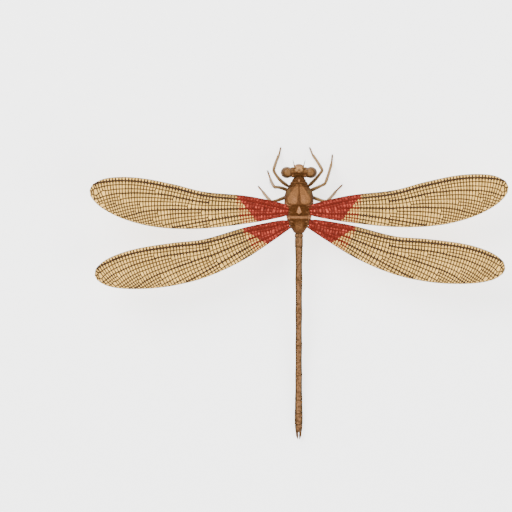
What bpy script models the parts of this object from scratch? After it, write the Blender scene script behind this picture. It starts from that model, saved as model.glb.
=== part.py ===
"""Rubyspot damselfly (Hetaerina), male: a still, life-size model that stands on the floor with its
four wings spread flat and the tip of its abdomen laid on the ground.

The head looks along -Y, +X is the insect's left and +Z is up. The floor is z = 0, and the origin
is the middle of the footprint. Sizes below are millimetres; "back" is the distance behind the
front of the face, measured along the body.
"""

import math

import bmesh
import bpy
from mathutils import Matrix, Vector

MM = 0.001

# Driving sizes.
BODY_LENGTH = 46.0  # front of the face to the tips of the claspers
FOOT_REACH = 3.0  # how far the front toes stand ahead of the face
MIDDLE = (BODY_LENGTH - FOOT_REACH) / 2  # back of the origin
GAP = 0.25  # the narrow space between one piece and the next
BODY_SIDES = 20
SIDES = {"left": 1, "right": -1}

# Head.
HEAD_BACK, HEAD_UP = 1.45, 4.3
HEAD_HALVES = (2.3, 0.88, 1.25)
EYE_OUT, EYE_BACK, EYE_UP = 2.08, 1.48, 4.35
EYE_HALVES = (0.92, 0.9, 1.2)
FACE_BACK, FACE_UP = 0.65, 3.8
FACE_HALVES = (0.9, 0.65, 0.8)
MOUTH_BACK, MOUTH_UP = 1.3, 2.85
MOUTH_HALVES = (0.75, 0.7, 0.5)
ANTENNA_ROOT = (0.72, 0.5, 5.32)
ANTENNA_TIP = (1.0, -0.55, 5.9)
ANTENNA_RADIUS = 0.25

# Rings of the trunk, each (back, up, half width, half height).
PROTHORAX_RINGS = (
    (2.57, 4.2, 0.95, 0.82),
    (2.77, 4.15, 1.15, 1.0),
    (3.15, 4.05, 1.4, 1.2),
    (3.45, 3.95, 1.5, 1.3),
    (3.65, 3.9, 1.42, 1.25),
)
THORAX_RINGS = (
    (3.9, 3.7, 1.45, 1.3),
    (4.2, 3.65, 1.85, 1.68),
    (4.8, 3.75, 2.18, 2.02),
    (5.6, 3.9, 2.36, 2.26),
    (6.6, 4.05, 2.38, 2.38),
    (7.6, 4.2, 2.2, 2.34),
    (8.6, 4.35, 1.95, 2.2),
    (9.6, 4.5, 1.75, 1.95),
    (10.5, 4.6, 1.45, 1.5),
    (11.1, 4.6, 1.1, 1.1),
    (11.3, 4.58, 0.85, 0.83),
)
THORAX_KEEL = 0.3  # share of the width that the breast loses at its lowest point
THORAX_SQUARE = 2.5  # 2 is an ellipse, more is a boxier section

# Abdomen: back of each segment's front end, and the radius there and at its middle.
ABDOMEN_FRONT, ABDOMEN_UP = 11.55, 4.55
ABDOMEN_END, TAIL_UP = 44.7, 0.45
DROOP = 1.35  # 1 is a straight slope, more lies flatter towards the tail
SEGMENT_BACKS = (11.55, 12.25, 13.9, 19.4, 24.9, 30.3, 35.3, 39.4, 41.7, 43.5, 44.7)
JOINT_RADII = (0.66, 0.68, 0.66, 0.62, 0.6, 0.58, 0.58, 0.6, 0.66, 0.64, 0.5)
WAIST_RADII = (0.72, 0.7, 0.55, 0.52, 0.5, 0.5, 0.53, 0.6, 0.66, 0.6)
SEGMENT_SIDES = 14
COLLAR = 0.35  # length of the thicker ring at each end of a segment
CLASPER_RADIUS = 0.2

# Wings: thickness, and where each one is hinged and how it is held, in degrees.
WING_THICKNESS = 0.5
WING_POSES = {
    "forewing_left": {"hinge": (1.3, 7.88, 5.95), "sweep": -6.1, "rise": 4.0},
    "forewing_right": {"hinge": (1.3, 7.88, 5.95), "sweep": -7.1, "rise": 4.0},
    "hindwing_left": {"hinge": (1.2, 9.97, 5.75), "sweep": 14.3, "rise": 3.0},
    "hindwing_right": {"hinge": (1.2, 9.93, 5.75), "sweep": 12.5, "rise": 3.0},
}
# Outlines as (out along the span, ahead of the hinge), round the wing from the root's front corner.
FOREWING_OUTLINE = (
    (0.0, 0.7),
    (1.3, 1.1),
    (7.5, 1.68),
    (14.8, 1.62),
    (20.0, 2.32),
    (26.0, 2.74),
    (30.8, 2.16),
    (33.2, 0.75),
    (33.2, -1.25),
    (31.0, -3.0),
    (27.0, -4.42),
    (21.5, -5.08),
    (14.4, -4.5),
    (6.5, -2.72),
    (1.3, -1.15),
    (0.0, -0.75),
)
HINDWING_OUTLINE = (
    (0.0, 0.6),
    (1.3, 0.98),
    (7.5, 1.3),
    (14.8, 1.08),
    (20.0, 1.78),
    (26.5, 2.32),
    (30.8, 1.92),
    (33.3, 0.75),
    (33.5, -1.2),
    (31.5, -2.85),
    (27.5, -4.2),
    (22.0, -5.1),
    (16.0, -5.12),
    (9.5, -3.95),
    (4.0, -2.1),
    (1.3, -0.92),
    (0.0, -0.6),
)

# Legs: (out, back, up) of the hip and the trochanter below it. Then of the knee, ankle and toe,
# and how far the thigh bows off a straight line at its middle.
HIPS = {
    "foreleg": ((0.72, 4.15, 2.2), (1.4, 3.9, 1.42)),
    "midleg": ((0.78, 4.9, 2.0), (1.5, 4.7, 1.3)),
    "hindleg": ((0.8, 5.7, 1.9), (1.55, 5.42, 1.22)),
}
LEG_STANCES = {
    "foreleg_left": ((4.22, 1.1, 3.85), (3.25, -1.65, 0.42), (3.0, -2.8, 0.2), (0.3, 0.25, 0.1)),
    "foreleg_right": ((3.92, 1.1, 3.85), (2.3, -1.6, 0.42), (1.85, -2.8, 0.2), (0.12, 0.1, 0.1)),
    "midleg_left": ((4.05, 3.95, 4.85), (4.75, 2.45, 0.42), (5.2, 1.1, 0.2), (0.0, -0.2, 0.1)),
    "midleg_right": ((4.35, 3.35, 4.5), (5.5, -0.2, 0.42), (5.65, -1.6, 0.2), (0.0, 0.05, 0.1)),
    "hindleg_left": ((4.6, 6.35, 5.3), (6.0, 4.6, 0.42), (6.75, 3.7, 0.2), (0.0, 0.12, 0.1)),
    "hindleg_right": ((4.6, 6.3, 5.3), (6.25, 4.5, 0.42), (7.3, 3.45, 0.2), (0.0, 0.12, 0.1)),
}
COXA_RADIUS, FEMUR_RADIUS, TIBIA_RADIUS, TARSUS_RADIUS = 0.26, 0.29, 0.25, 0.25
KNEE_ROUND = 0.14  # share of a limb's length, at each end, in which it bends
THIGH_STEPS = (0.12, 0.3, 0.5, 0.7)  # where along the thigh its curve is given
SOCKET_RADIUS = COXA_RADIUS + GAP


def place(out, back, up):
    """A point of the insect, in metres in the model's frame. out is towards +X."""
    return Vector((out, back - MIDDLE, up)) * MM


def clear_scene():
    for obj in list(bpy.data.objects):
        bpy.data.objects.remove(obj)


def new_collection(name):
    collection = bpy.data.collections.new(name)
    bpy.context.scene.collection.children.link(collection)
    return collection


def material(name, colour, roughness, metallic=0.0, alpha=1.0):
    made = bpy.data.materials.new(name)
    made.use_nodes = True
    shader = made.node_tree.nodes["Principled BSDF"]
    shader.inputs["Base Color"].default_value = (*colour, 1.0)
    shader.inputs["Roughness"].default_value = roughness
    shader.inputs["Metallic"].default_value = metallic
    shader.inputs["Alpha"].default_value = alpha
    return made


def make_materials():
    return {
        "cuticle": material("cuticle", (0.18, 0.06, 0.022), 0.35, 0.3),
        "face": material("face", (0.46, 0.29, 0.14), 0.4),
        "eye": material("eye", (0.2, 0.09, 0.035), 0.15),
        "abdomen": material("abdomen", (0.24, 0.1, 0.035), 0.38, 0.2),
        "wing": material("wing", (0.5, 0.32, 0.14), 0.3, alpha=0.6),
        "leg": material("leg", (0.2, 0.1, 0.04), 0.45),
    }


def mesh_object(name, collection, bm, surface=None):
    mesh = bpy.data.meshes.new(name)
    bm.to_mesh(mesh)
    bm.free()
    mesh.shade_smooth()
    mesh.materials.clear()
    obj = bpy.data.objects.new(name, mesh)
    collection.objects.link(obj)
    if surface:
        mesh.materials.append(surface)
    return obj


def hide_cutter(obj):
    obj.hide_render = True
    obj.display_type = "WIRE"
    return obj


def cut(target, cutter):
    """Takes the cutter's shape out of the target."""
    modifier = target.modifiers.new(cutter.name, "BOOLEAN")
    modifier.operation = "DIFFERENCE"
    modifier.object = cutter


def ellipsoid(name, collection, centre, halves, surface=None, segments=20, rings=12):
    bm = bmesh.new()
    size = Matrix.Diagonal([half * MM for half in halves] + [1.0])
    matrix = Matrix.Translation(place(*centre)) @ size
    bmesh.ops.create_uvsphere(bm, u_segments=segments, v_segments=rings, radius=1.0, matrix=matrix)
    return mesh_object(name, collection, bm, surface)


def grown(halves, by=GAP):
    return tuple(half + by for half in halves)


def trunk_section(vert, half_width, half_height, keel, square):
    """Moves a point of a unit circle onto a boxy section whose lower half narrows like a keel."""
    across, along = vert.co.x, vert.co.y
    reach = (abs(across) ** square + abs(along) ** square) ** (1.0 / square)
    across, along = across / reach, along / reach
    narrow = 1.0 - keel * max(0.0, -along)
    vert.co = Vector((across * narrow * half_width, 0.0, along * half_height)) * MM


def trunk(name, collection, rings, surface, keel=0.0, square=2.0, sides=BODY_SIDES):
    """One closed body lofted through upright rings, front to back, with its two ends capped."""
    bm = bmesh.new()
    loops = []
    for index, (back, up, half_width, half_height) in enumerate(rings):
        is_end = index in (0, len(rings) - 1)
        circle = bmesh.ops.create_circle(bm, cap_ends=is_end, segments=sides, radius=1.0)["verts"]
        for vert in circle:
            trunk_section(vert, half_width, half_height, keel, square)
            vert.co += place(0.0, back, up)
        loops.append({edge for vert in circle for edge in vert.link_edges})
    for front, rear in zip(loops, loops[1:]):
        bmesh.ops.bridge_loops(bm, edges=list(front | rear))
    bmesh.ops.recalc_face_normals(bm, faces=bm.faces)
    return mesh_object(name, collection, bm, surface)


def tube(name, collection, points, radii, surface):
    """A closed tube through the points, whose thickness follows the radii, as one mesh."""
    curve = bpy.data.curves.new(name, "CURVE")
    curve.dimensions = "3D"
    curve.bevel_depth = MM
    curve.bevel_resolution = 2
    curve.use_fill_caps = True
    spline = curve.splines.new("POLY")
    spline.points.add(len(points) - 1)
    for knot, point, radius in zip(spline.points, points, radii):
        knot.co = (*point, 1.0)
        knot.radius = radius
    guide = bpy.data.objects.new(name + "_path", curve)
    collection.objects.link(guide)
    bpy.context.view_layer.update()
    evaluated = guide.evaluated_get(bpy.context.evaluated_depsgraph_get())
    mesh = bpy.data.meshes.new_from_object(evaluated)
    bpy.data.objects.remove(guide)
    bm = bmesh.new()
    bm.from_mesh(mesh)
    bpy.data.meshes.remove(mesh)
    bmesh.ops.remove_doubles(bm, verts=bm.verts, dist=0.01 * MM)
    return mesh_object(name, collection, bm, surface)


def stand_flat(obj):
    """Cuts off what lies under the floor, which leaves the small flat that the piece rests on."""
    bm = bmesh.new()
    bm.from_mesh(obj.data)
    whole = bm.verts[:] + bm.edges[:] + bm.faces[:]
    made = bmesh.ops.bisect_plane(bm, geom=whole, plane_co=(0, 0, 0), plane_no=(0, 0, -1), clear_outer=True)
    rim = [item for item in made["geom_cut"] if isinstance(item, bmesh.types.BMEdge)]
    if rim:
        bmesh.ops.holes_fill(bm, edges=rim)
    bm.to_mesh(obj.data)
    bm.free()


def make_head(pieces, cutters, surfaces):
    """The head capsule, hollowed where the eyes, the face and the mouthparts are set into it."""
    centre = (0.0, HEAD_BACK, HEAD_UP)
    head = ellipsoid("head", pieces, centre, HEAD_HALVES, surfaces["cuticle"], 24, 14)
    for side, sign in SIDES.items():
        centre = (sign * EYE_OUT, EYE_BACK, EYE_UP)
        ellipsoid("eye_" + side, pieces, centre, EYE_HALVES, surfaces["eye"])
        cut(head, hide_cutter(ellipsoid("eye_socket_" + side, cutters, centre, grown(EYE_HALVES))))
    centre = (0.0, FACE_BACK, FACE_UP)
    face = ellipsoid("face", pieces, centre, FACE_HALVES, surfaces["face"], 16, 10)
    cut(head, hide_cutter(ellipsoid("face_socket", cutters, centre, grown(FACE_HALVES))))
    centre = (0.0, MOUTH_BACK, MOUTH_UP)
    ellipsoid("mouthparts", pieces, centre, MOUTH_HALVES, surfaces["face"], 16, 10)
    socket = hide_cutter(ellipsoid("mouth_socket", cutters, centre, grown(MOUTH_HALVES)))
    cut(head, socket)
    cut(face, socket)


def make_antennae(pieces, surfaces):
    """Two short stout feelers that stand off the forehead."""
    for side, sign in SIDES.items():
        root, tip = (place(sign * out, back, up) for out, back, up in (ANTENNA_ROOT, ANTENNA_TIP))
        ends = (root, root.lerp(tip, 0.5), tip)
        tube("antenna_" + side, pieces, ends, [ANTENNA_RADIUS] * len(ends), surfaces["leg"])


def abdomen_up(back):
    """Height of the abdomen's axis, which droops from the trunk and lies flat at the tail."""
    run = (back - ABDOMEN_FRONT) / (ABDOMEN_END - ABDOMEN_FRONT)
    return TAIL_UP + (ABDOMEN_UP - TAIL_UP) * max(0.0, 1.0 - run) ** DROOP


def make_abdomen(pieces, surfaces):
    """Ten segments, each a turned rod with a thicker ring at either end."""
    spans = zip(SEGMENT_BACKS, SEGMENT_BACKS[1:])
    for index, (front, rear) in enumerate(spans):
        start = place(0.0, front + GAP / 2, abdomen_up(front))
        end = place(0.0, rear - GAP / 2, abdomen_up(rear))
        length = (end - start).length / MM
        collar = min(COLLAR, length / 3)
        profile = (
            (0.0, length),
            (JOINT_RADII[index + 1], length),
            (WAIST_RADII[index], length - collar),
            (WAIST_RADII[index], collar),
            (JOINT_RADII[index], 0.0),
            (0.0, 0.0),
        )
        bm = bmesh.new()
        verts = [bm.verts.new((radius * MM, 0.0, along * MM)) for radius, along in profile]
        for first, second in zip(verts, verts[1:]):
            bm.edges.new((first, second))
        name = f"abdomen_s{index + 1:02d}"
        segment = mesh_object(name, pieces, bm, surfaces["abdomen"])
        turn = segment.modifiers.new("turn", "SCREW")
        turn.steps = turn.render_steps = SEGMENT_SIDES
        turn.use_merge_vertices = True
        turn.merge_threshold = 0.00001
        segment.location = start
        segment.rotation_mode = "QUATERNION"
        segment.rotation_quaternion = (end - start).to_track_quat("Z", "Y")


def lay_tail(cutters):
    """Cuts the last segments off level with the floor, where the tail rests on it."""
    bm = bmesh.new()
    bmesh.ops.create_cube(bm, size=1.0)
    floor = hide_cutter(mesh_object("floor_cut", cutters, bm))
    floor.data.transform(Matrix.Diagonal((4 * MM, 8 * MM, MM, 1.0)))
    floor.location = place(0.0, SEGMENT_BACKS[-1] - 3.0, -0.5)
    for number in (8, 9, 10):
        cut(bpy.data.objects[f"abdomen_s{number:02d}"], floor)


def make_claspers(pieces, surfaces):
    """The two pincers behind the last segment, which bow outwards and meet at their tips."""
    root_back = SEGMENT_BACKS[-1] + GAP
    reach = BODY_LENGTH - root_back
    for side, sign in SIDES.items():
        points = []
        for step in range(6):
            run = step / 5
            out = 0.28 + 0.14 * math.sin(math.pi * run) - 0.04 * run
            points.append(place(sign * out, root_back + reach * run, TAIL_UP + 0.12))
        radii = [CLASPER_RADIUS] * 4 + [CLASPER_RADIUS * 0.8, CLASPER_RADIUS * 0.45]
        tube("clasper_" + side, pieces, points, radii, surfaces["abdomen"])


def make_wings(pieces, cutters, thorax, surfaces):
    """Four flat blades, each let into a slot high on the trunk's side."""
    outlines = {"forewing": FOREWING_OUTLINE, "hindwing": HINDWING_OUTLINE}
    for name, pose in WING_POSES.items():
        kind, side = name.split("_")
        sign = SIDES[side]
        outline = outlines[kind]
        curve = bpy.data.curves.new(name, "CURVE")
        curve.dimensions = "2D"
        curve.fill_mode = "BOTH"
        curve.extrude = WING_THICKNESS / 2 * MM
        curve.resolution_u = 3
        spline = curve.splines.new("BEZIER")
        spline.bezier_points.add(len(outline) - 1)
        spline.use_cyclic_u = True
        for knot, (out, ahead) in zip(spline.bezier_points, outline):
            knot.co = (sign * out * MM, -ahead * MM, 0.0)
            at_root = out == 0.0
            knot.handle_left_type = knot.handle_right_type = "VECTOR" if at_root else "AUTO"
        curve.materials.append(surfaces["wing"])
        wing = bpy.data.objects.new(name, curve)
        pieces.objects.link(wing)
        turn = [0.0, -sign * math.radians(pose["rise"]), sign * math.radians(pose["sweep"])]
        out, back, up = pose["hinge"]
        wing.location = place(sign * out, back, up)
        wing.rotation_euler = turn
        cut(thorax, wing_slot(name, cutters, wing, outline[1]))


def wing_slot(name, cutters, wing, shoulder):
    """A box a little larger than the wing's root, laid the same way as the wing."""
    reach, half_width = shoulder
    bm = bmesh.new()
    bmesh.ops.create_cube(bm, size=2.0)
    slot = mesh_object(name + "_slot", cutters, bm)
    slot.data.transform(Matrix.Diagonal((
        (reach * 2 + GAP) * MM,
        (half_width + 2 * GAP) * MM,
        (WING_THICKNESS / 2 + GAP) * MM,
        1.0,
    )))
    outwards = SIDES[name.split("_")[1]] * (reach * 2) * MM
    slot.data.transform(Matrix.Translation((outwards, 0.0, 0.0)))
    slot.location = wing.location
    slot.rotation_euler = wing.rotation_euler
    return hide_cutter(slot)


def leg_path(stance, sign):
    """Points and radii from the hip down to the toe, with knee and ankle bent in a short curve."""
    *joints, bow = stance
    hip, trochanter, knee, ankle, toe = (place(sign * out, back, up) for out, back, up in joints)
    bow = Vector((sign * bow[0], bow[1], bow[2])) * MM
    bend_in, bend_out = knee.lerp(trochanter, KNEE_ROUND), knee.lerp(ankle, KNEE_ROUND)
    heel_in, heel_out = ankle.lerp(knee, KNEE_ROUND / 2), ankle.lerp(toe, KNEE_ROUND)
    path = [
        (hip, COXA_RADIUS),
        (trochanter, COXA_RADIUS),
    ]
    for run in THIGH_STEPS:
        path.append((trochanter.lerp(knee, run) + bow * 4 * run * (1 - run), FEMUR_RADIUS))
    path += [
        (bend_in + bow * 4 * KNEE_ROUND * (1 - KNEE_ROUND), FEMUR_RADIUS * 0.9),
        (bend_in.lerp(knee, 0.5).lerp(bend_out.lerp(knee, 0.5), 0.5), TIBIA_RADIUS * 1.1),
        (bend_out, TIBIA_RADIUS),
        (heel_in, TIBIA_RADIUS),
        (heel_in.lerp(ankle, 0.5).lerp(heel_out.lerp(ankle, 0.5), 0.5), TARSUS_RADIUS),
        (heel_out, TARSUS_RADIUS),
        (toe, TARSUS_RADIUS),
    ]
    return zip(*path)


def make_legs(pieces, cutters, thorax, surfaces):
    for name, stance in LEG_STANCES.items():
        kind, side = name.split("_")
        points, radii = leg_path(HIPS[kind] + stance, SIDES[side])
        stand_flat(tube(name, pieces, points, radii, surfaces["leg"]))
        hip, trochanter = points[:2]
        over = (trochanter - hip).normalized() * GAP * MM
        socket = tube(name + "_socket", cutters, (hip - over, trochanter + over), [SOCKET_RADIUS] * 2, None)
        cut(thorax, hide_cutter(socket))


def main():
    clear_scene()
    pieces = new_collection("rubyspot_damselfly")
    cutters = new_collection("cutters")
    surfaces = make_materials()
    make_head(pieces, cutters, surfaces)
    make_antennae(pieces, surfaces)
    trunk("prothorax", pieces, PROTHORAX_RINGS, surfaces["cuticle"])
    thorax = trunk("thorax", pieces, THORAX_RINGS, surfaces["cuticle"], THORAX_KEEL, THORAX_SQUARE)
    make_abdomen(pieces, surfaces)
    lay_tail(cutters)
    make_claspers(pieces, surfaces)
    make_wings(pieces, cutters, thorax, surfaces)
    make_legs(pieces, cutters, thorax, surfaces)


main()
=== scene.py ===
import math
import random
from contextlib import contextmanager

import bpy
import numpy as np
from mathutils import Matrix, Vector
from mathutils.kdtree import KDTree


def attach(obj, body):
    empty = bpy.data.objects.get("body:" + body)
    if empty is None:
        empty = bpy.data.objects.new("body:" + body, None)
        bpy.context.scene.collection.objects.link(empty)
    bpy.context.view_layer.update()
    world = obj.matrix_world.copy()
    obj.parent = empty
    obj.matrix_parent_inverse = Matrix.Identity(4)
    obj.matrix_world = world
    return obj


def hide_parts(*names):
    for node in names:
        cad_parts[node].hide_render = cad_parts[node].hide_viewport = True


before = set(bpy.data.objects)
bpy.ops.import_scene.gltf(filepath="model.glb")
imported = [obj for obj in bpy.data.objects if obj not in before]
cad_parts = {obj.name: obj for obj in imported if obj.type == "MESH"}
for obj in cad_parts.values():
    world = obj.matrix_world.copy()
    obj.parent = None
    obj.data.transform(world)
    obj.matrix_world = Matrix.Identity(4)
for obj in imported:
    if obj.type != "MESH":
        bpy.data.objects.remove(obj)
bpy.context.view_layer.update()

# ------------------------------------------------------------
# The table the insect stands on: a plain opal sheet, lit evenly from below as on a light table,
# under two large soft lamps, seen from straight above with the head at the top. Lengths in this
# file are millimetres: only finished pieces, the table, the lamps and the camera are in metres.
MM = 0.001
BODY_LENGTH, FOOT_REACH = 46.0, 3.0
MIDDLE = (BODY_LENGTH - FOOT_REACH) / 2
VIEW_WIDTH, VIEW_HEIGHT, SENSOR = 84.94, 600.0, 36.0
VIEW_OUT, VIEW_BACK, VIEW_UP = 7.13, 15.35, 5.0
TABLE_SIZE, TABLE_GLOW, ROOM_LIGHT = 16.0, 2.4, 0.85
OPAL_DARK, OPAL_PALE, WHITE = (0.86, 0.86, 0.85), (0.89, 0.89, 0.88), (1.0, 1.0, 1.0, 1.0)


def spot(out, back, up):
    """A place on the insect: out to its left, back from the front of its face, up from the floor."""
    return Vector((out, back - MIDDLE, up))


def new_finish(name, roughness, alpha=1.0, gloss=0.16):
    """A fresh material. Gives it with its nodes, its links and its shader."""
    finish = bpy.data.materials.new(name)
    finish.use_nodes = True
    nodes, links = finish.node_tree.nodes, finish.node_tree.links
    shader = nodes["Principled BSDF"]
    shader.inputs["Roughness"].default_value = roughness
    shader.inputs["Alpha"].default_value = alpha
    shader.inputs["Specular IOR Level"].default_value = gloss
    return finish, nodes, links, shader


def mottle(nodes, links, size, detail=3.0):
    """A cloudy pattern on Object coordinates, whose patches are about size millimetres across."""
    where = nodes.new("ShaderNodeTexCoord")
    cloud = nodes.new("ShaderNodeTexNoise")
    cloud.inputs["Scale"].default_value = 1.0 / (size * MM)
    cloud.inputs["Detail"].default_value = detail
    links.new(where.outputs["Object"], cloud.inputs["Vector"])
    return cloud.outputs["Fac"]


def shades(nodes, links, pattern, stops):
    """Turns a pattern from 0 to 1 into colours, given as (place, colour) stops."""
    ramp = nodes.new("ShaderNodeValToRGB")
    while len(ramp.color_ramp.elements) < len(stops):
        ramp.color_ramp.elements.new(0.5)
    for element, (at, colour) in zip(ramp.color_ramp.elements, stops):
        element.position = at
        element.color = (*colour, 1.0)
    links.new(pattern, ramp.inputs["Fac"])
    return ramp.outputs["Color"]


def in_scene(name, data):
    """A new object in the scene that holds this mesh, curve, lamp or camera."""
    thing = bpy.data.objects.new(name, data)
    bpy.context.scene.collection.objects.link(thing)
    return thing


def soft_lamp(name, place, size, power):
    """A round lamp that shines at the middle of the table."""
    lamp_data = bpy.data.lights.new(name, "AREA")
    lamp_data.shape, lamp_data.size, lamp_data.energy = "DISK", size * MM, power
    lamp = in_scene(name, lamp_data)
    lamp.location = Vector(place) * MM
    lamp.rotation_euler = (-Vector(place)).to_track_quat("-Z", "Y").to_euler()


bpy.ops.mesh.primitive_plane_add(size=TABLE_SIZE, location=(0.0, 0.0, 0.0))
table = bpy.context.object
table.name = "light_table"
table_finish, nodes, links, shader = new_finish("opal_sheet", 0.85)
cloudy = shades(nodes, links, mottle(nodes, links, 3.0), ((0.3, OPAL_DARK), (0.7, OPAL_PALE)))
links.new(cloudy, shader.inputs["Base Color"])
shader.inputs["Emission Color"].default_value = WHITE
shader.inputs["Emission Strength"].default_value = TABLE_GLOW
table.data.materials.append(table_finish)

soft_lamp("key_lamp", (300.0, -330.0, 420.0), 420.0, 5.6)
soft_lamp("fill_lamp", (-420.0, 220.0, 360.0), 480.0, 3.2)
room = bpy.data.worlds.new("room")
room.use_nodes = True
room.node_tree.nodes["Background"].inputs["Color"].default_value = WHITE
room.node_tree.nodes["Background"].inputs["Strength"].default_value = ROOM_LIGHT
bpy.context.scene.world = room

camera_data = bpy.data.cameras.new("camera")
camera_data.sensor_width = SENSOR
camera_data.lens = SENSOR * VIEW_HEIGHT / VIEW_WIDTH
camera = in_scene("camera", camera_data)
camera.location = spot(VIEW_OUT, VIEW_BACK, VIEW_UP + VIEW_HEIGHT) * MM
camera.rotation_euler = (0.0, 0.0, math.pi)
bpy.context.scene.camera = camera

# ------------------------------------------------------------
# The pterothorax, the box of muscle that carries the wings: one hard shell of plates that have
# grown together, with a keel down the middle of its back, seams slanting up its sides and small
# domed plates between the wings. Copper brown panels stand out on a darker ground.
TRUNK_SIDES = 24
TRUNK_RINGS = (
    (3.5, 3.85, 1.0, 0.95),
    (3.64, 3.8, 1.5, 1.3),
    (4.1, 3.67, 1.96, 1.74),
    (4.8, 3.75, 2.32, 2.06),
    (5.6, 3.9, 2.48, 2.28),
    (6.6, 4.05, 2.42, 2.38),
    (7.6, 4.2, 2.3, 2.32),
    (8.6, 4.35, 2.18, 2.18),
    (9.6, 4.5, 1.92, 1.95),
    (10.4, 4.6, 1.5, 1.56),
    (11.0, 4.6, 1.12, 1.12),
    (11.4, 4.58, 0.88, 0.88),
    (11.6, 4.55, 0.7, 0.72),
)
KEEL_NARROWING, SQUARENESS = 0.3, 2.5


def only(piece):
    """Selects this piece and nothing else."""
    bpy.ops.object.select_all(action="DESELECT")
    piece.select_set(True)
    bpy.context.view_layer.objects.active = piece


@contextmanager
def editing(piece, action="SELECT"):
    """Opens the piece for editing, with all or none of it selected, and closes it again."""
    only(piece)
    bpy.ops.object.mode_set(mode="EDIT")
    bpy.ops.mesh.select_all(action=action)
    yield
    bpy.ops.object.mode_set(mode="OBJECT")


def sized(name, scale=(1.0, 1.0, 1.0), turned=False):
    """Names the form just added and fixes its place and size in its mesh, and its turn if it has one."""
    piece = bpy.context.object
    piece.name, piece.scale = name, scale
    bpy.ops.object.transform_apply(location=True, rotation=turned, scale=True)
    return piece


def reshape(piece, kind, **settings):
    """Puts one modifier on the piece and applies it."""
    only(piece)
    modifier = piece.modifiers.new(kind.lower(), kind)
    for setting, value in settings.items():
        setattr(modifier, setting, value)
    bpy.ops.object.modifier_apply(modifier=modifier.name)


def ringed(name, rings, sides):
    """A closed form drawn out from a round disc. A ring is (back, up, half width, half height)."""
    back, up, half_width, half_height = rings[0]
    bpy.ops.mesh.primitive_circle_add(
        vertices=sides, radius=1.0, fill_type="NGON",
        location=spot(0.0, back, up), rotation=(math.pi / 2, 0.0, 0.0),
    )
    piece = sized(name, (half_width, half_height, 1.0), turned=True)
    with editing(piece):
        for next_back, next_up, next_width, next_height in rings[1:]:
            shift = (0.0, next_back - back, next_up - up)
            bpy.ops.mesh.extrude_region_move(TRANSFORM_OT_translate={"value": shift})
            bpy.ops.transform.resize(
                value=(next_width / half_width, 1.0, next_height / half_height),
                center_override=spot(0.0, next_back, next_up),
            )
            back, up, half_width, half_height = next_back, next_up, next_width, next_height
        bpy.ops.mesh.select_all(action="SELECT")
        bpy.ops.mesh.normals_make_consistent(inside=False)
    return piece


def smoothed(piece, levels):
    """Subdivides the piece's surface and keeps the result."""
    reshape(piece, "SUBSURF", levels=levels, render_levels=levels)
    bpy.ops.object.shade_smooth()
    return piece


def places_of(piece):
    """The piece's corners and the ways they face, as two tables of x, y, z."""
    count = len(piece.data.vertices)
    places, ways = np.zeros(count * 3), np.zeros(count * 3)
    piece.data.vertices.foreach_get("co", places)
    piece.data.vertices.foreach_get("normal", ways)
    return places.reshape(-1, 3), ways.reshape(-1, 3)


def move_to(piece, places):
    piece.data.vertices.foreach_set("co", places.reshape(-1))
    piece.data.update()


def raise_skin(piece, places, ways, lift):
    """Moves each corner of the piece out along the way it faces, by its own lift."""
    places += ways * lift[:, None]
    move_to(piece, places)


def paint(piece, ground, layers=()):
    """Colours the piece corner by corner: a ground, then each layer, as (colour, how much of it)."""
    tints = np.ones((len(piece.data.vertices), 4))
    tints[:, :3] = ground
    for colour, share in layers:
        share = np.clip(share, 0.0, 1.0)[:, None]
        tints[:, :3] = tints[:, :3] * (1 - share) + np.array(colour) * share
    layer = piece.data.color_attributes.new("tint", "FLOAT_COLOR", "POINT")
    layer.data.foreach_set("color", tints.reshape(-1))


def ramp_up(values, low, high):
    """0 below low, 1 above high, and a soft step between."""
    t = np.clip((values - low) / (high - low), 0.0, 1.0)
    return t * t * (3 - 2 * t)


def bump_at(distance, width):
    """A rounded bump, 1 at no distance and gone two or three widths away."""
    return np.exp(-((distance / width) ** 2))


def settle(piece, finish, slot, *nodes):
    """Shrinks the piece to metres, gives it its finish and hangs it on the frame."""
    only(piece)
    piece.data.transform(Matrix.Scale(MM, 4))
    piece.data.materials.clear()
    piece.data.materials.append(finish)
    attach(piece, "root")
    if nodes:
        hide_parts(*nodes)


def seam(places, low, high):
    """Distance from a slanting seam on the trunk's side, between two (back, up) ends."""
    (low_back, low_up), (high_back, high_up) = low, high
    run = np.clip((places[:, 2] - low_up) / (high_up - low_up), 0.0, 1.0)
    along = low_back + (high_back - low_back) * run
    lean = math.cos(math.atan2(high_back - low_back, high_up - low_up))
    return (places[:, 1] + MIDDLE - along) * lean


def painted_finish(
    name, roughness, patches, patch_size, grain_size, grain_depth,
    gloss=0.16, alpha=1.0, detail=4.0, stops=(0.35, 0.62), strength=0.6,
):
    """The painted colours, shaded in patches from darkest to lightest, over a fine grain."""
    finish, nodes, links, shader = new_finish(name, roughness, alpha, gloss)
    painted = nodes.new("ShaderNodeAttribute")
    painted.attribute_name = "tint"
    greys = [(at, (grey, grey, grey)) for at, grey in zip(stops, patches)]
    shade = shades(nodes, links, mottle(nodes, links, patch_size, detail), greys)
    blend = nodes.new("ShaderNodeMix")
    blend.data_type, blend.blend_type = "RGBA", "MULTIPLY"
    blend.inputs["Factor"].default_value = 1.0
    links.new(painted.outputs["Color"], blend.inputs["A"])
    links.new(shade, blend.inputs["B"])
    links.new(blend.outputs["Result"], shader.inputs["Base Color"])
    grain = nodes.new("ShaderNodeBump")
    grain.inputs["Strength"].default_value = strength
    grain.inputs["Distance"].default_value = grain_depth * MM
    links.new(mottle(nodes, links, grain_size), grain.inputs["Height"])
    links.new(grain.outputs["Normal"], shader.inputs["Normal"])
    return finish


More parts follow.
